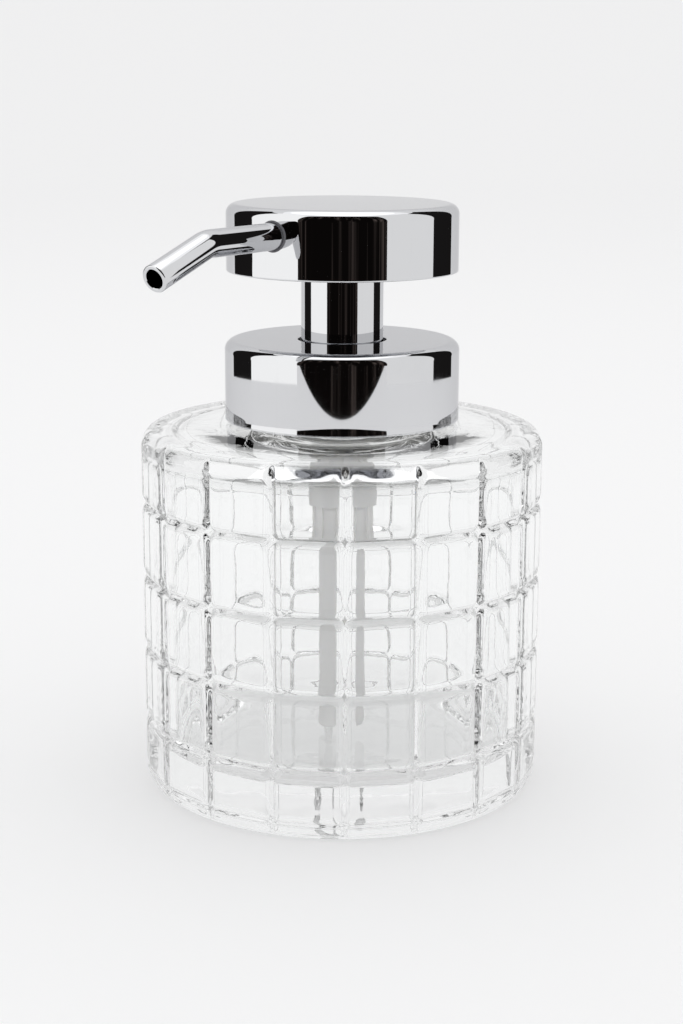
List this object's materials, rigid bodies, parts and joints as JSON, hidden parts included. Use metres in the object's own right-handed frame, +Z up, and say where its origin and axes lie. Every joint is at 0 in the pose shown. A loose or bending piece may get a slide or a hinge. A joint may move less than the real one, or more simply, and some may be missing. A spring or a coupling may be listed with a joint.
{
  "type": "soap pump dispenser",
  "caption": "Counter-top soap pump dispenser: pressed-glass bottle with a grid of raised tiles, chromed collar, stem, disc head and bent spout on a spring-return pump.",
  "frame": {"origin": "on the bottle's axis, on the surface it stands on", "axes": "+Z up along the bottle and pump axis, -Y the way the spout points at rest, +X completes the right-handed frame"},
  "size_m": [0.09, 0.1095, 0.1312],
  "materials": {
    "glass": "clear, pressed",
    "chrome": "polished",
    "natural_plastic": "translucent, undyed",
    "white_plastic": "satin",
    "seal_rubber": "matte",
    "gasket_foam": "matte",
    "spring_steel": "drawn wire",
    "ball_steel": "polished"
  },
  "bodies": {
    "glass": {"bottle": "glass"},
    "engine": {"pump_housing": "natural_plastic", "housing_cap": "white_plastic", "rod_wiper": "seal_rubber", "neck_gasket": "gasket_foam", "ball_cage": "natural_plastic", "dip_tube": "natural_plastic", "return_spring": "spring_steel"},
    "collar": {"collar_shell": "chrome", "closure_ring": "white_plastic"},
    "plunger": {"piston_rod": "white_plastic", "rod_end": "white_plastic"},
    "piston": {"piston": "white_plastic"},
    "head": {"head_shell": "chrome", "head_core": "white_plastic", "head_base_plate": "chrome", "stem_sleeve": "chrome", "spout_tube": "chrome", "spout_bush": "seal_rubber", "spout_seal": "seal_rubber"},
    "ball": {"inlet_ball": "ball_steel"}
  },
  "joints": [
    {"name": "engine_lift", "type": "slide", "parent": "glass", "child": "engine", "axis": [0, 0, 1], "range_m": [0, 0.008]},
    {"name": "closure_turn", "type": "hinge", "parent": "engine", "child": "collar", "pos_m": [0, 0, 0.09], "axis": [0, 0, 1], "range_deg": [0, 725]},
    {"name": "pump_stroke", "type": "slide", "parent": "engine", "child": "plunger", "axis": [0, 0, 1], "range_m": [-0.0115, 0], "stiffness_N_per_m": 550, "springref_m": 0.007, "deforming": ["return_spring"]},
    {"name": "head_swivel", "type": "hinge", "parent": "plunger", "child": "head", "pos_m": [0, 0, 0.12], "axis": [0, 0, 1], "continuous": true},
    {"name": "piston_shift", "type": "slide", "parent": "plunger", "child": "piston", "axis": [0, 0, 1], "range_m": [0, 0.001]},
    {"name": "ball_lift", "type": "slide", "parent": "engine", "child": "ball", "axis": [0, 0, 1], "range_m": [0, 0.001]}
  ],
  "couplings": [
    {"joint": "closure_turn", "follows": "engine_lift", "rad_per_m": 1570.8}
  ]
}
